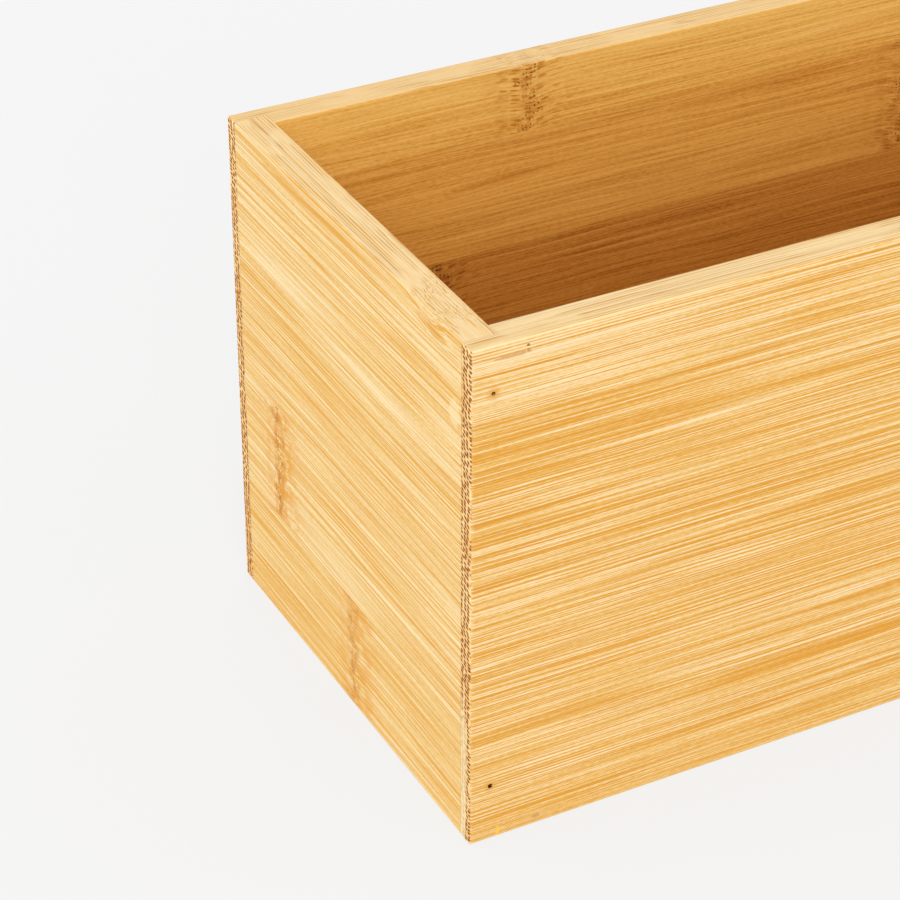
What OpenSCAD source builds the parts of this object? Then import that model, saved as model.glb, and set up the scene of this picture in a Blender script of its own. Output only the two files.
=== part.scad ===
// Open-top bamboo desk box for pens, 150 x 75 x 80 mm.
// Two long boards are rabbeted over two end boards and pinned, and a floor panel sits in grooves.
// Every board is one layer of bamboo strips, glued edge to edge.
// The origin is the centre of the underside. X runs along the box, Y from front to back, Z up.

/* [Box] */
// Outside length
box_length = 150; // [120:1:320]
// Outside depth, front to back
box_depth = 75; // [60:1:160]
// Outside height
box_height = 80; // [60:1:120]
// Thickness of the four wall boards
board_thickness = 5.2; // [4.8:0.1:8]

/* [Strips] */
// Height of the front board's lowest strip
front_lowest_strip = 8.5; // [7:0.5:12]
// Height of the front board's top strip
front_top_strip = 11.5; // [10:0.5:16]
// Height of the back board's lowest strip
back_lowest_strip = 12; // [7:0.5:14]
// Height of the back board's top strip
back_top_strip = 11; // [10:0.5:16]
// Height of the end boards' lowest strip
end_lowest_strip = 19.2; // [10:0.2:22]
// Height of the end boards' top strip
end_top_strip = 3.2; // [2:0.2:16]

/* [Floor] */
// Thickness of the floor panel
floor_thickness = 3; // [2:0.1:4]
// Height of the floor panel's underside above the table
floor_height = 3; // [2:0.1:3]
// How far the floor panel stays short of the bottom of its grooves
floor_clearance = 0.2; // [0.1:0.1:0.5]

/* [Pins] */
// Diameter of the headless pins
pin_diameter = 0.6; // [0.6:0.1:1.2]
// Length of a pin
pin_length = 14; // [10:1:20]
// How deep the outer end of a pin lies below the board's face
pin_recess = 0.5; // [0.2:0.1:1]
// Distance of the pins from the ends of the box
pin_inset = 3.2; // [2.4:0.1:4]
// Height of the lower pins
low_pin_height = 9.5; // [8:0.5:14]
// Distance of the upper pins below the rim
high_pin_drop = 7; // [5:0.5:12]

/* [Edges] */
// Radius of the outside edges
edge_radius = 0.5; // [0.3:0.1:1.2]
// Radius of the rim's inside edges
rim_radius = 0.3; // [0.2:0.1:0.6]

/* [Hidden] */
$fn = 48;

// Tools cut past the wood by this much
overcut = 1;
// A long board's rabbet and every groove go half way through the board
half_board = board_thickness / 2;
inner_length = box_length - 2 * board_thickness;
inner_depth = box_depth - 2 * board_thickness;

// Each wall board has a lowest strip, a top strip and equal ones between
wall_strip_count = 5;

// The floor panel reaches into the grooves all round
floor_reach = half_board - floor_clearance;
floor_length = inner_length + 2 * floor_reach;
floor_depth = inner_depth + 2 * floor_reach;
floor_strip_count = 4;
floor_strip_width = floor_depth / floor_strip_count;

pin_point = 1.5;
pin_point_diameter = pin_diameter / 4;

// Height of the joint below strip i of a wall board, counted from 1 at the table
function joint_height(i, lowest, top) =
    i <= 1 ? -overcut
    : i > wall_strip_count ? box_height + overcut
    : lowest + (i - 2) * (box_height - lowest - top) / (wall_strip_count - 2);

module rounded_rectangle(width, height) {
    square([width - 2 * edge_radius, height], center = true);
    square([width, height - 2 * edge_radius], center = true);
    for (x = [-1, 1], y = [-1, 1])
        translate([x * (width / 2 - edge_radius), y * (height / 2 - edge_radius)])
            circle(edge_radius);
}

// The whole box as a solid block with its outside edges rounded
module eased_block() {
    translate([0, 0, box_height / 2])
        intersection() {
            linear_extrude(box_height + overcut, center = true)
                rounded_rectangle(box_length, box_depth);
            rotate([90, 0, 90])
                linear_extrude(box_length + overcut, center = true)
                    rounded_rectangle(box_depth, box_height);
            rotate([90, 0, 0])
                linear_extrude(box_depth + overcut, center = true)
                    rounded_rectangle(box_length, box_height);
        }
}

// What rounding removes from the rim's inside edges
module rim_easing() {
    translate([0, 0, box_height - rim_radius])
        difference() {
            translate([0, 0, (rim_radius + overcut) / 2])
                cube([inner_length + 2 * rim_radius, inner_depth + 2 * rim_radius,
                      rim_radius + overcut], center = true);
            for (side = [-1, 1]) {
                translate([0, side * (inner_depth / 2 + rim_radius), 0])
                    rotate([0, 90, 0])
                        cylinder(h = box_length, r = rim_radius, center = true);
                translate([side * (inner_length / 2 + rim_radius), 0, 0])
                    rotate([90, 0, 0])
                        cylinder(h = box_depth, r = rim_radius, center = true);
            }
        }
}

// The floor's groove, half way into all four boards
module floor_groove() {
    translate([0, 0, floor_height + floor_thickness / 2])
        cube([inner_length + 2 * half_board, inner_depth + 2 * half_board, floor_thickness],
             center = true);
}

// A pin that points along +Y, with its outer end at the origin
module pin() {
    rotate([-90, 0, 0]) {
        cylinder(h = pin_length - pin_point, d = pin_diameter);
        translate([0, 0, pin_length - pin_point])
            cylinder(h = pin_point, d1 = pin_diameter, d2 = pin_point_diameter);
    }
}

// Places its children at every pin, pointing inwards from the front and back faces
module at_pins() {
    for (x = [-1, 1], y = [0, 1], z = [low_pin_height, box_height - high_pin_drop])
        mirror([0, y, 0])
            translate([x * (box_length / 2 - pin_inset), pin_recess - box_depth / 2, z])
                children();
}

// The holes that the pins make, each open to the board's face
module pin_holes() {
    at_pins() {
        pin();
        translate([0, -pin_recess - overcut, 0])
            rotate([-90, 0, 0])
                cylinder(h = pin_recess + overcut, d = pin_diameter);
    }
}

// A strip of a board along the front, between two heights, with a rabbet at each end for the end boards
module long_strip(bottom, top) {
    difference() {
        intersection() {
            eased_block();
            translate([-box_length / 2 - overcut, -box_depth / 2 - overcut, bottom])
                cube([box_length + 2 * overcut, board_thickness + overcut, top - bottom]);
        }
        for (side = [-1, 1])
            translate([side * (inner_length + board_thickness + overcut) / 2,
                       half_board - box_depth / 2 + board_thickness / 2, box_height / 2])
                cube([board_thickness + overcut, board_thickness, box_height + 2 * overcut],
                     center = true);
        floor_groove();
        rim_easing();
        pin_holes();
    }
}

// Strip i of the front board
module front_strip(i) {
    color("burlywood")
        long_strip(joint_height(i, front_lowest_strip, front_top_strip),
                   joint_height(i + 1, front_lowest_strip, front_top_strip));
}

// Strip i of the back board, the mirror image of a front strip of the same height
module back_strip(i) {
    color("burlywood")
        mirror([0, 1, 0])
            long_strip(joint_height(i, back_lowest_strip, back_top_strip),
                       joint_height(i + 1, back_lowest_strip, back_top_strip));
}

// Strip i of the left end board, which stands between the long boards' rabbets
module left_strip(i) {
    bottom = joint_height(i, end_lowest_strip, end_top_strip);
    top = joint_height(i + 1, end_lowest_strip, end_top_strip);
    color("wheat")
        difference() {
            intersection() {
                eased_block();
                translate([-box_length / 2 - overcut, half_board - box_depth / 2, bottom])
                    cube([board_thickness + overcut, box_depth - 2 * half_board, top - bottom]);
            }
            floor_groove();
            rim_easing();
            pin_holes();
        }
}

// Strip i of the right end board
module right_strip(i) {
    mirror([1, 0, 0])
        left_strip(i);
}

// Strip i of the floor panel, counted from the front
module floor_strip(i) {
    color("tan")
        translate([-floor_length / 2, (i - 1) * floor_strip_width - floor_depth / 2, floor_height])
            cube([floor_length, floor_strip_width, floor_thickness]);
}

module corner_pins() {
    color("silver")
        at_pins()
            pin();
}

for (i = [1:wall_strip_count]) {
    front_strip(i);
    back_strip(i);
    left_strip(i);
    right_strip(i);
}
for (i = [1:floor_strip_count])
    floor_strip(i);
corner_pins();
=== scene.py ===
"""The looks of a bamboo desk box for pens: materials, floor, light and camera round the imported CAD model."""

import math

import bpy
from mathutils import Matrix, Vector


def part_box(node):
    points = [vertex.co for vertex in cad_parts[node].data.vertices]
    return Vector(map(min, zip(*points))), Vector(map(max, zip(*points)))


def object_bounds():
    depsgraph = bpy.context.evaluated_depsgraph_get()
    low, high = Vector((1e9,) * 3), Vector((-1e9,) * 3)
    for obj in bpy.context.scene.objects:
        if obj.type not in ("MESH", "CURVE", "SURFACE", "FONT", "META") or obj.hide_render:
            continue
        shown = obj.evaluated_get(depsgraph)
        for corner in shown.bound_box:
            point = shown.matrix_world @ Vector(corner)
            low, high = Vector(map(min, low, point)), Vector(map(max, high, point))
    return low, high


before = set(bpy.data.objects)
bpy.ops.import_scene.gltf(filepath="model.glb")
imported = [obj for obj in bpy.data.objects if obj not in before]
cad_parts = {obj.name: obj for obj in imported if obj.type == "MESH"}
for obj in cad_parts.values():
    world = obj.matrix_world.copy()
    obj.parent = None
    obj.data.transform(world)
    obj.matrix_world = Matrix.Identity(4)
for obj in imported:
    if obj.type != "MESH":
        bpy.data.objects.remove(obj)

MM = 0.001
CAD_BOX = [list(corner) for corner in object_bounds()]

# ---------------------------------------------------------------- what the frame says, in millimetres

def box_mm(node):
    return [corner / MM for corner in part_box(node)]


LOW, HIGH = (Vector(corner) / MM for corner in CAD_BOX)
# The long boards' rabbets begin where the end boards' ends are
RABBET_Y = box_mm("left_strip_1")[1].y
PIN_LOW, PIN_HIGH = box_mm("corner_pins")
PIN_RADIUS = 0.3


# ---------------------------------------------------------------- a short way to write node trees

class Tree:
    """Adds nodes to a shader tree. Each call returns the new node's output, or takes one as a value."""

    def __init__(self, tree):
        self.tree = tree

    def add(self, kind, **settings):
        node = self.tree.nodes.new("ShaderNode" + kind)
        for name, value in settings.items():
            setattr(node, name, value)
        return node

    def feed(self, socket, value):
        if isinstance(value, bpy.types.NodeSocket):
            self.tree.links.new(value, socket)
        else:
            socket.default_value = value

    def math(self, operation, *values):
        node = self.add("Math", operation=operation)
        for socket, value in zip(node.inputs, values):
            self.feed(socket, value)
        return node.outputs[0]

    def plus(self, *values):
        total = values[0]
        for value in values[1:]:
            total = self.math("ADD", total, value)
        return total

    def minus(self, a, b):
        return self.math("SUBTRACT", a, b)

    def times(self, *values):
        total = values[0]
        for value in values[1:]:
            total = self.math("MULTIPLY", total, value)
        return total

    def size(self, a):
        return self.math("ABSOLUTE", a)

    def step(self, start, end, value):
        """0 before start and 1 past end, smooth between; the other way round if end is below start."""
        node = self.add("MapRange", interpolation_type="SMOOTHSTEP")
        self.feed(node.inputs["Value"], value)
        self.feed(node.inputs["From Min"], start)
        self.feed(node.inputs["From Max"], end)
        return node.outputs["Result"]

    def hump(self, distance, reach):
        """1 where distance is 0, falling as a bell curve of that reach."""
        ratio = self.math("DIVIDE", distance, reach)
        return self.math("EXPONENT", self.times(ratio, ratio, -1))

    def point(self, x, y, z=0.0):
        node = self.add("CombineXYZ")
        for socket, value in zip(node.inputs, (x, y, z)):
            self.feed(socket, value)
        return node.outputs[0]

    def parts(self, vector):
        node = self.add("SeparateXYZ")
        self.feed(node.inputs[0], vector)
        return node.outputs[:]

    def noise(self, point, detail=2.0, roughness=0.5):
        node = self.add("TexNoise")
        self.feed(node.inputs["Vector"], point)
        self.feed(node.inputs["Scale"], 1.0)
        self.feed(node.inputs["Detail"], detail)
        self.feed(node.inputs["Roughness"], roughness)
        return node.outputs["Fac"]

    def cells(self, point, jitter=1.0):
        """Distance to the nearest of a field of scattered points, and a random value of that point's own."""
        node = self.add("TexVoronoi", voronoi_dimensions="2D")
        self.feed(node.inputs["Vector"], point)
        self.feed(node.inputs["Scale"], 1.0)
        self.feed(node.inputs["Randomness"], jitter)
        chance = self.parts(node.outputs["Color"])[0]
        return node.outputs["Distance"], chance

    def mix(self, share, a, b, blend="MIX"):
        node = self.add("Mix", data_type="RGBA", blend_type=blend)
        self.feed(node.inputs[0], share)
        self.feed(node.inputs[6], a)
        self.feed(node.inputs[7], b)
        return node.outputs[2]

    def ramp(self, value, *stops):
        """A colour that goes through the stops, each (value, colour), from the first to the last."""
        node = self.add("ValToRGB")
        self.feed(node.inputs[0], value)
        elements = node.color_ramp.elements
        for _ in stops[2:]:
            elements.new(0.5)
        for element, (place, stop_colour) in zip(elements, stops):
            element.position = place
            element.color = stop_colour
        return node.outputs["Color"]

    def grey(self, value):
        node = self.add("CombineColor")
        for socket in node.inputs[:3]:
            self.feed(socket, value)
        return node.outputs[0]


def new_material(name):
    material = bpy.data.materials.new(name)
    material.use_nodes = True
    tree = Tree(material.node_tree)
    return material, tree, material.node_tree.nodes["Principled BSDF"]


def colour(red, green, blue):
    """A colour given as 0 to 255 display values, as the linear colour that a shader takes."""
    linear = [((c / 255 + 0.055) / 1.055) ** 2.4 for c in (red, green, blue)]
    return (*linear, 1.0)


# ---------------------------------------------------------------- bamboo

# Sizes in millimetres. Vascular bundles are scattered through the strip with this spacing:
# they show as lines on its faces and as dots on its ends
BUNDLE_ACROSS = 0.62
BUNDLE_THROUGH = 0.85
BUNDLE_SLANT = 0.36
BUNDLE_JITTER = 0.45
# How far the fibres dip into the strip and out of it again
FIBRE_DIP = 1.3
SEAM_WIDTH = 0.1
DASH_LENGTH = 2.4
DASH_ACROSS = 0.6
SPECK_SPACING = 0.66

PALE_RIM = colour(240, 214, 168)

FRONT_WOOD = dict(
    pale=colour(236, 208, 164),
    straw=colour(223, 182, 107),
    line=colour(210, 146, 50),
    knot=colour(222, 150, 50),
    speck=colour(120, 66, 20),
    rim=colour(241, 216, 165),
    contrast=1.22,
    pitch=5.4,
    run=1.25,
    wave=0.5,
    lean=0.0,
)
END_WOOD = dict(
    pale=colour(249, 222, 171),
    straw=colour(238, 200, 125),
    line=colour(230, 168, 68),
    knot=colour(230, 156, 48),
    speck=colour(134, 72, 16),
    rim=colour(239, 213, 163),
    contrast=1.5,
    pitch=5.4,
    run=2.2,
    wave=0.7,
    lean=0.0,
)
TOP_BACK_WOOD = dict(
    pale=colour(236, 192, 108),
    straw=colour(223, 171, 83),
    line=colour(196, 134, 46),
    knot=colour(184, 116, 36),
    speck=colour(84, 38, 10),
    rim=colour(235, 204, 149),
    contrast=0.6,
    pitch=3.0,
    run=1.8,
    wave=1.8,
    lean=0.035,
)
BACK_WOOD = dict(
    pale=colour(227, 175, 90),
    straw=colour(213, 156, 72),
    line=colour(184, 119, 40),
    knot=colour(164, 98, 28),
    speck=colour(84, 38, 10),
    rim=PALE_RIM,
    contrast=0.6,
    pitch=3.0,
    run=1.8,
    wave=1.8,
    lean=0.0,
)
# Partly a darker wood and partly painted shade: the shadow deep inside the box is put into the colour of the
# lower back strips
DARK_BACK_WOOD_AND_SHADE = dict(
    pale=colour(218, 161, 80),
    straw=colour(199, 138, 59),
    line=colour(160, 96, 30),
    knot=colour(136, 76, 20),
    speck=colour(70, 32, 8),
    rim=PALE_RIM,
    contrast=0.6,
    pitch=3.0,
    run=1.8,
    wave=1.8,
    lean=0.0,
)
FLOOR_WOOD = dict(
    pale=colour(232, 196, 132),
    straw=colour(222, 178, 106),
    line=colour(198, 132, 56),
    knot=colour(198, 132, 56),
    speck=colour(120, 66, 20),
    rim=colour(232, 196, 132),
    contrast=0.8,
    pitch=4.0,
    run=1.2,
    wave=1.2,
    lean=0.0,
)
END_GRAIN_BASE = colour(254, 222, 158)
END_GRAIN_STAIN = colour(218, 142, 50)
END_GRAIN_DOT = colour(128, 58, 0)
END_GRAIN_HALO = colour(206, 134, 40)
HAIRLINE = colour(190, 130, 42)
KNUCKLE_STAIN = colour(194, 128, 52)
SPECK = colour(84, 38, 10)
SEAM = colour(160, 100, 44)


class Strip:
    """The material of one strip. Each method adds one part of its look to self.base.

    A position in the strip is (along the fibres, across the strip, through it), in millimetres."""

    def __init__(self, node, along, wood, seed):
        self.material, self.t, self.shader = new_material("bamboo_" + node)
        self.along = along
        self.wood = wood
        self.seed = seed
        self.low, self.high = box_mm(node)
        t = self.t
        coordinates = t.add("TexCoord")
        scaled = t.add("VectorMath", operation="SCALE")
        t.feed(scaled.inputs[0], coordinates.outputs["Object"])
        t.feed(scaled.inputs["Scale"], 1 / MM)
        x, y, z = t.parts(scaled.outputs[0])
        normal = t.parts(coordinates.outputs["Normal"])
        end_normal = normal[1] if along == "y" else normal[0]
        a, c, d = {"x": (x, z, y), "y": (y, z, x), "floor": (x, y, z)}[along]
        self.position = x, y, z
        self.a = a
        self.c = c
        self.end_grain = t.step(0.55, 0.8, t.size(end_normal))
        self.rim = t.step(0.5, 0.9, normal[2])
        # Each strip is cut from another place in the wood
        self.straight = t.plus(a, 61.7 * seed), t.plus(c, 17.3 * seed), t.plus(d, 9.1 * seed)

    def field(self, position, rates, detail=2.0, roughness=0.5):
        """Noise with so many lumps to a millimetre along, across and through the strip."""
        t = self.t
        scaled = (t.times(part, rate) for part, rate in zip(position, rates))
        return t.noise(t.point(*scaled), detail, roughness)

    def tint(self, share, tint):
        self.base = self.t.mix(share, self.base, tint)

    def bend_fibres(self, knuckles):
        """The fibres run nearly straight, dip in and out of the face, and swerve round a knuckle."""
        t = self.t
        sa, sc, sd = self.straight
        swerve = 0.0
        self.knuckles = []
        for place, reach, stain, marks, arch in knuckles:
            wobble = t.minus(t.noise(t.point(t.times(sc, 0.3), 3.1 * self.seed), 3.0), 0.5)
            away = t.minus(t.minus(self.a, place), t.times(wobble, 2.5 * reach))
            swirl = self.field(self.straight, (0.2, 0.5, 0.3), 1.0)
            swerve = t.plus(swerve, t.times(t.hump(away, reach), t.plus(0.4, swirl), arch))
            self.knuckles.append((away, reach, stain, marks))
        wander = self.field(self.straight, (0.03, 0.25, 0.2), 1.0)
        dip = self.field(self.straight, (0.014, 0.8, 0.1), 1.0)
        drift = self.field(self.straight, (0.014, 0.2, 0.1), 1.0)
        across = t.plus(sc, t.times(wander, self.wood["wave"]), swerve)
        through = t.plus(sd, t.times(dip, FIBRE_DIP), t.times(swerve, 0.5))
        self.bent = sa, across, through
        self.bundle_depth = t.plus(sd, t.times(drift, FIBRE_DIP), t.times(swerve, 0.5))

    def place_bundles(self):
        """Bundles in a slanted lattice: a line along the face, a dot with a halo on the end."""
        t = self.t
        slanted = t.minus(self.bent[1], t.times(self.bundle_depth, BUNDLE_SLANT))
        u = t.times(slanted, 1 / BUNDLE_ACROSS)
        v = t.times(self.bundle_depth, 1 / BUNDLE_THROUGH)
        distance, chance = t.cells(t.point(u, v), BUNDLE_JITTER)
        self.line = t.times(t.step(0.5, 0.15, distance), t.step(0.0, 0.8, chance))
        self.dot = t.times(t.step(0.4, 0.22, distance), t.step(-1.0, 0.4, chance))
        self.halo = t.step(0.62, 0.36, distance)

    def make_grain(self, warmth, softness):
        """The fibres' tone, from 0, pale, to 1, the colour of a dark line."""
        t = self.t
        wood = self.wood
        run = wood["run"]
        broad = self.field(self.bent, (0.015 * run, 0.4, 0.1))
        pores = self.field(self.bent, (1.2, 5.5, 5.0), 1.0)
        self.thread = self.field(self.bent, (0.012 * run, wood["pitch"], 2.4), 2.0, 0.55)
        self.fading = self.field(self.bent, (0.05 * run, 0.6, 0.3))
        self.fine = self.field(self.bent, (0.05 * run, 6.0, 3.0), 1.0)
        strength = wood["contrast"] * (1 - 0.6 * softness)
        depth = t.times(t.step(-0.2, 0.8, self.fading), 5.2 * strength)
        height = t.minus((self.low.z + self.high.z) / 2, self.c)
        self.tone = t.plus(
            t.times(t.minus(self.thread, 0.5), depth),
            t.times(t.minus(broad, 0.5), 0.24),
            t.times(t.minus(self.fading, 0.5), 0.12),
            t.times(self.line, 0.3 * strength),
            t.times(t.minus(pores, 0.5), 0.9),
            t.times(height, wood["lean"]),
            warmth - 0.05,
        )

    def face_colour(self):
        wood = self.wood
        return self.t.ramp(self.tone, (0.0, wood["pale"]), (0.47, wood["straw"]), (1.0, wood["line"]))

    def rim_colour(self):
        """On the rim the wood is paler, with brown hairlines."""
        t = self.t
        plain = t.ramp(t.times(self.tone, 0.4), (0.0, self.wood["rim"]), (1.0, self.wood["straw"]))
        level = t.plus(t.times(self.bent[2], 2.0), t.times(self.thread, 2.0))
        hair = t.step(0.2, 0.04, t.math("PINGPONG", level, 0.5))
        shown = t.step(0.38, 0.52, self.fading)
        return t.mix(t.times(hair, shown, 0.75), plain, HAIRLINE)

    def end_colour(self):
        t = self.t
        patches = t.point(t.times(self.position[2], 0.09), t.times(self.bent[2], 0.25), self.seed)
        stained = t.step(0.35, 0.7, t.noise(patches, 2.0))
        end = t.mix(t.times(stained, 0.45), END_GRAIN_BASE, END_GRAIN_STAIN)
        end = t.mix(t.times(self.halo, 0.6), end, END_GRAIN_HALO)
        return t.mix(self.dot, end, END_GRAIN_DOT)

    def colour_wood(self):
        t = self.t
        face = t.mix(t.times(self.rim, 0.9), self.face_colour(), self.rim_colour())
        wood = t.mix(self.end_grain, face, self.end_colour())
        shade = t.grey(t.plus(0.9, t.times(self.fine, 0.2)))
        self.base = t.mix(1.0, wood, shade, "MULTIPLY")

    def add_knuckle(self, away, reach, stain, marks):
        """A ridge of dark specks, blotches of deeper colour, and short dashes beside it."""
        t = self.t
        wood = self.wood
        sa, across, _ = self.bent
        blotches = t.noise(t.point(t.times(sa, 0.4), t.times(across, 0.5), self.seed), 3.0)
        clots = t.noise(t.point(t.times(sa, 0.7), t.times(across, 0.5), self.seed), 2.0)
        ridge = t.times(t.hump(away, 1.4), t.step(0.47, 0.58, clots))
        spread = t.times(t.hump(t.plus(away, 0.5 * reach), 1.3 * reach), t.step(0.42, 0.6, blotches))
        shown = t.minus(1.0, t.times(self.rim, 0.8))
        self.tint(t.times(t.hump(t.minus(away, 1.6), 0.9), 0.2 * stain), wood["pale"])
        self.tint(t.times(t.math("MAXIMUM", ridge, spread), shown, stain), wood["knot"])
        self.tint(t.times(ridge, shown, 0.8 * stain), KNUCKLE_STAIN)

        dash_point = t.point(t.times(sa, 1 / DASH_LENGTH), t.times(across, 1 / DASH_ACROSS))
        dash_distance, dash_chance = t.cells(dash_point, 0.8)
        dash = t.times(t.step(0.38, 0.2, dash_distance), t.step(0.1, 0.6, dash_chance))
        self.tint(t.times(dash, t.hump(away, 5.0), shown, marks), wood["knot"])

        speck_point = t.point(t.times(sa, 1 / SPECK_SPACING), t.times(across, 1 / SPECK_SPACING))
        speck_distance, speck_chance = t.cells(speck_point, 0.5)
        speck = t.times(t.step(0.32, 0.14, speck_distance), t.step(0.0, 0.8, speck_chance))
        self.tint(t.times(speck, t.hump(away, 1.7), shown, marks), wood["speck"])

    def add_pin_stains(self):
        """Wood crushed and stained round the head of each pin, more so at the lower pins."""
        t = self.t
        x, _, z = self.position
        pin_x = t.minus(t.size(x), PIN_HIGH.x - PIN_RADIUS)
        to_low_pin = t.size(t.minus(z, PIN_LOW.z + PIN_RADIUS))
        to_high_pin = t.size(t.minus(z, PIN_HIGH.z - PIN_RADIUS))
        pin_z = t.math("MINIMUM", to_low_pin, to_high_pin)
        from_pin = t.math("SQRT", t.plus(t.times(pin_x, pin_x), t.times(pin_z, pin_z)))
        ragged = t.plus(from_pin, t.times(t.minus(self.thread, 0.5), 0.8))
        self.tint(t.times(t.step(1.3, 0.4, ragged), 0.5), self.wood["line"])
        low_half = t.step(HIGH.z / 2 + 1, HIGH.z / 2 - 1, z)
        self.tint(t.times(t.step(0.42, 0.3, ragged), t.plus(0.3, t.times(low_half, 0.7))), SPECK)

    def add_blemish(self, centre, reach, tint, strength):
        """Tints an uneven patch round centre, of that reach along X, Y and Z."""
        t = self.t
        offset = t.add("VectorMath", operation="SUBTRACT")
        t.feed(offset.inputs[0], t.point(*self.position))
        t.feed(offset.inputs[1], centre)
        ratio = t.add("VectorMath", operation="DIVIDE")
        t.feed(ratio.inputs[0], offset.outputs[0])
        t.feed(ratio.inputs[1], reach)
        length = t.add("VectorMath", operation="LENGTH")
        t.feed(length.inputs[0], ratio.outputs[0])
        ragged = self.field(self.position, (1.5, 1.5, 1.5), 3.0, 0.7)
        distance = t.plus(length.outputs["Value"], t.times(t.minus(ragged, 0.5), 1.2))
        self.tint(t.times(t.step(1.15, 0.75, distance), strength), tint)

    def add_seams(self):
        """Thin glue lines where this strip meets the next one, and at the corner joints."""
        t = self.t
        to_bottom = t.size(t.minus(self.c, self.low.z))
        to_top = t.size(t.minus(self.c, self.high.z))
        seam = t.math("MINIMUM", to_bottom, to_top)
        self.tint(t.times(t.step(SEAM_WIDTH, 0.02, seam), 0.12), SEAM)
        if self.along == "y":
            corner = t.size(t.minus(t.size(self.position[1]), RABBET_Y))
            self.tint(t.times(t.step(2 * SEAM_WIDTH, 0.04, corner), 0.3), SEAM)

    def add_edge_highlight(self):
        """Paints a highlight along the outside edges, lightening them in patches where the rounded edges catch
        the light.
        """
        t = self.t
        x, y, z = self.position
        to_x = t.minus(HIGH.x, t.size(x))
        to_y = t.minus(HIGH.y, t.size(y))
        to_z = t.math("MINIMUM", z, t.minus(HIGH.z, z))
        nearest = t.math("MINIMUM", to_x, to_y)
        second = t.math("MAXIMUM", nearest, t.math("MINIMUM", t.math("MAXIMUM", to_x, to_y), to_z))
        patchy = self.field(self.position, (0.35, 0.35, 0.35), 3.0)
        edge_highlight = t.times(t.step(0.7, 0.2, second), t.step(0.3, 0.7, patchy))
        # Painted highlight: the edges take the wood's rim colour
        self.tint(t.times(edge_highlight, 0.2), self.wood["rim"])

    def finish(self):
        """Sets the colour, the sheen and the fibres' relief."""
        t = self.t
        t.feed(self.shader.inputs["Base Color"], self.base)
        rough_fibres = t.plus(t.times(self.fine, 0.14), t.times(self.line, 0.08))
        t.feed(self.shader.inputs["Roughness"], t.plus(0.46, rough_fibres, t.times(self.end_grain, 0.15)))
        end_dots = t.times(self.dot, self.end_grain, -1.0)
        bump = t.add("Bump")
        t.feed(bump.inputs["Strength"], 0.35)
        t.feed(bump.inputs["Distance"], 0.03 * MM)
        t.feed(bump.inputs["Height"], t.plus(t.times(self.line, -0.5), t.times(self.fine, 0.6), end_dots))
        t.feed(self.shader.inputs["Normal"], bump.outputs[0])
        self.shader.inputs["Specular IOR Level"].default_value = 0.15


def bamboo(node, along, wood, seed, warmth=0.5, softness=0.0, knuckles=(), blemishes=()):
    """The material of one strip, whose fibres run along X or Y.

    warmth goes from 0, pale, to 1, orange. softness from 0 to 1 takes away from the lines.
    Each knuckle is (place along the strip, reach, stain, marks, arch)."""
    strip = Strip(node, along, wood, seed)
    strip.bend_fibres(knuckles)
    strip.place_bundles()
    strip.make_grain(warmth, softness)
    strip.colour_wood()
    for knuckle in strip.knuckles:
        strip.add_knuckle(*knuckle)
    if along == "x":
        strip.add_pin_stains()
    for details in blemishes:
        strip.add_blemish(*details)
    strip.add_seams()
    # Painted highlight along the outside edges
    strip.add_edge_highlight()
    strip.finish()
    return strip.material


def dress(node, material):
    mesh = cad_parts[node].data
    mesh.materials.clear()
    mesh.materials.append(material)


# Each strip's warmth and softness, from the table up
FRONT_TONES = ((0.64, 0.4), (0.62, 0.15), (0.62, 0.0), (0.63, 0.15), (0.47, 0.15))
BACK_TONES = ((0.5, 0.4), (0.5, 0.4), (0.5, 0.4), (0.5, 0.4), (0.4, 0.4))
END_TONES = ((0.61, 0.6), (0.48, 0.2), (0.48, 0.1), (0.35, 0.1), (0.55, 0.1))

# Each knuckle is (place along the strip, reach, stain, marks, arch)
KNUCKLES = {
    "back_strip_5": [(LOW.x + 46.7, 3.2, 0.35, 1.0, 0.7)],
    "back_strip_4": [(LOW.x + 116, 3.2, 0.35, 0.9, 0.9)],
    "back_strip_3": [(LOW.x + 31.5, 3.2, 0.35, 0.9, 0.9)],
    "left_strip_5": [(LOW.y + 11, 4.5, 0.15, 0.1, 0.9)],
    "left_strip_2": [(LOW.y + 61, 3.2, 0.95, 0.65, 0.4)],
    "left_strip_1": [(LOW.y + 37, 3.8, 0.6, 0.55, 0.5)],
}

FROM_LEFT = LOW.x
FRONT = LOW.y
RIM = HIGH.z
GLUE = colour(240, 190, 60)
FILLER = colour(250, 226, 172)
GREY_SMUDGE = colour(160, 122, 76)
BROWN_STREAK = colour(176, 112, 44)

# Each blemish is (centre, reach, tint, strength)
BLEMISHES = {
    "front_strip_5": [
        ((FROM_LEFT + 8.2, FRONT, RIM - 1.1), (0.28, 0.5, 0.22), SPECK, 0.7),
        ((FROM_LEFT + 8.2, FRONT, RIM - 1.9), (0.24, 0.5, 0.22), SPECK, 0.4),
        ((FROM_LEFT + 6.0, FRONT, RIM - 2.1), (2.8, 0.8, 0.3), BROWN_STREAK, 0.45),
    ],
    "front_strip_2": [
        ((FROM_LEFT, FRONT + 2.1, 14.0), (0.8, 1.2, 10.0), FILLER, 0.65),
    ],
    "front_strip_1": [
        ((FROM_LEFT, FRONT + 2.1, 12.0), (0.8, 1.2, 16.0), FILLER, 0.7),
        ((FROM_LEFT + 4.4, FRONT, 0.9), (0.35, 0.8, 1.1), GLUE, 0.7),
        ((FROM_LEFT + 10.5, FRONT, 1.5), (0.7, 0.8, 0.35), GREY_SMUDGE, 0.45),
    ],
    "left_strip_4": [
        ((FROM_LEFT, FRONT + 4.6, RIM - 11.4), (0.8, 1.5, 2.0), FILLER, 0.6),
    ],
}

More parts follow.
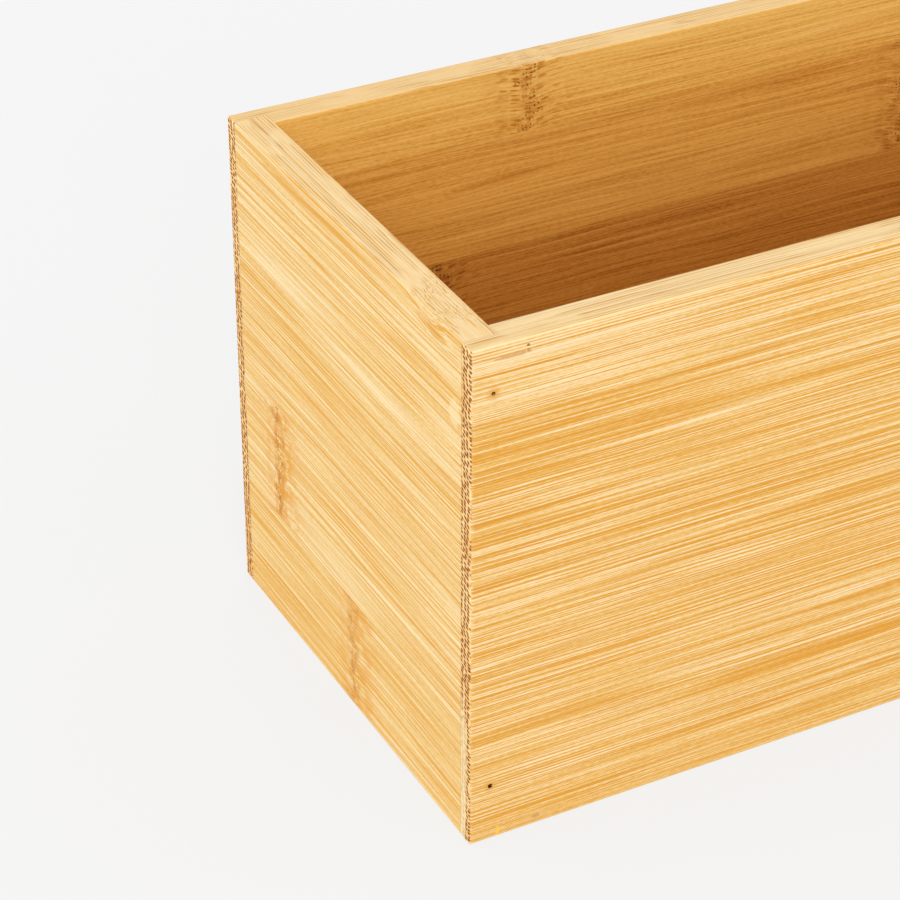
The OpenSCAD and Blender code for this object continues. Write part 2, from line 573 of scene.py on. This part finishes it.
# The back board's wood, from the table up. The lower three strips are darker partly as a darker wood and
# partly as painted shade: the shadow inside the box is put into their colour.
BACK_WOODS = (DARK_BACK_WOOD_AND_SHADE, DARK_BACK_WOOD_AND_SHADE, DARK_BACK_WOOD_AND_SHADE, BACK_WOOD, TOP_BACK_WOOD)

# Name, the axis that the fibres run along, each strip's wood and tones, and the number before
# the first strip's seed
BOARDS = (
    ("front", "x", [FRONT_WOOD] * 5, FRONT_TONES, 1),
    ("back", "x", BACK_WOODS, BACK_TONES, 11),
    ("left", "y", [END_WOOD] * 5, END_TONES, 21),
    ("right", "y", [END_WOOD] * 5, END_TONES, 31),
)

for i in range(1, 6):
    for board, along, woods, tones, first_seed in BOARDS:
        node = f"{board}_strip_{i}"
        wood = woods[i - 1]
        warmth, softness = tones[i - 1]
        marks = KNUCKLES.get(node, ()), BLEMISHES.get(node, ())
        dress(node, bamboo(node, along, wood, first_seed + i, warmth, softness, *marks))
for i in range(1, 5):
    node = f"floor_strip_{i}"
    dress(node, bamboo(node, "floor", FLOOR_WOOD, 41 + i))


# ---------------------------------------------------------------- steel pins

def pin_steel():
    material, t, shader = new_material("pin_steel")
    coordinates = t.add("TexCoord")
    scaled = t.add("VectorMath", operation="SCALE")
    t.feed(scaled.inputs[0], coordinates.outputs["Object"])
    t.feed(scaled.inputs["Scale"], 1 / MM)
    drawn = t.noise(scaled.outputs[0], 3.0)
    t.feed(shader.inputs["Base Color"], t.mix(drawn, colour(70, 62, 54), colour(118, 110, 100)))
    t.feed(shader.inputs["Roughness"], t.plus(0.25, t.times(drawn, 0.3)))
    shader.inputs["Metallic"].default_value = 1.0
    return material


dress("corner_pins", pin_steel())


# ---------------------------------------------------------------- floor, light and camera

def pale_floor():
    material, _, shader = new_material("pale_floor")
    shader.inputs["Base Color"].default_value = (0.12, 0.12, 0.12, 1.0)
    shader.inputs["Roughness"].default_value = 0.8
    shader.inputs["Specular IOR Level"].default_value = 0.1
    shader.inputs["Emission Color"].default_value = (1.0, 1.0, 1.0, 1.0)
    shader.inputs["Emission Strength"].default_value = 0.769
    return material


def make_floor(reach):
    mesh = bpy.data.meshes.new("floor")
    corners = [(-reach, -reach, 0), (reach, -reach, 0), (reach, reach, 0), (-reach, reach, 0)]
    mesh.from_pydata(corners, [], [(0, 1, 2, 3)])
    floor = bpy.data.objects.new("floor", mesh)
    bpy.context.scene.collection.objects.link(floor)
    mesh.materials.append(pale_floor())


def make_world(strength):
    world = bpy.data.worlds.new("studio")
    world.use_nodes = True
    background = world.node_tree.nodes["Background"]
    background.inputs["Color"].default_value = (1.0, 1.0, 1.0, 1.0)
    background.inputs["Strength"].default_value = strength
    bpy.context.scene.world = world


def aimed(obj, place, target):
    obj.location = place
    obj.rotation_euler = (Vector(target) - Vector(place)).to_track_quat("-Z", "Y").to_euler()
    bpy.context.scene.collection.objects.link(obj)


def direction(azimuth, elevation):
    """The way that something looks or shines: 0 is along +Y, 90 along +X, and elevation is how far down."""
    a, e = math.radians(azimuth), math.radians(elevation)
    return Vector((math.sin(a) * math.cos(e), math.cos(a) * math.cos(e), -math.sin(e)))


def softbox(name, azimuth, elevation, distance, side, watts):
    light = bpy.data.lights.new(name, "AREA")
    light.shape = "SQUARE"
    light.size = side
    light.energy = watts
    target = Vector((0, 0, HIGH.z * MM / 2))
    aimed(bpy.data.objects.new(name, light), target - direction(azimuth, elevation) * distance, target)


VIEW_AZIMUTH = 27.6
VIEW_ELEVATION = 32.63
VIEW_LENS = 122.4
VIEW_DISTANCE = 397
# The point looked at, on the left end's outer face
AIM = Vector((LOW.x, LOW.y + 5.8, 62.2))


def make_camera():
    data = bpy.data.cameras.new("camera")
    data.sensor_width = 36
    data.lens = VIEW_LENS
    data.clip_start = 0.01
    data.clip_end = 20
    camera = bpy.data.objects.new("camera", data)
    target = AIM * MM
    aimed(camera, target - direction(VIEW_AZIMUTH, VIEW_ELEVATION) * VIEW_DISTANCE * MM, target)
    bpy.context.scene.camera = camera


make_floor(3.0)
make_world(1.08)
softbox("key", azimuth=20, elevation=25, distance=1.3, side=0.35, watts=4.3)
make_camera()
bpy.context.scene.view_settings.view_transform = "Standard"
bpy.context.scene.view_settings.look = "None"
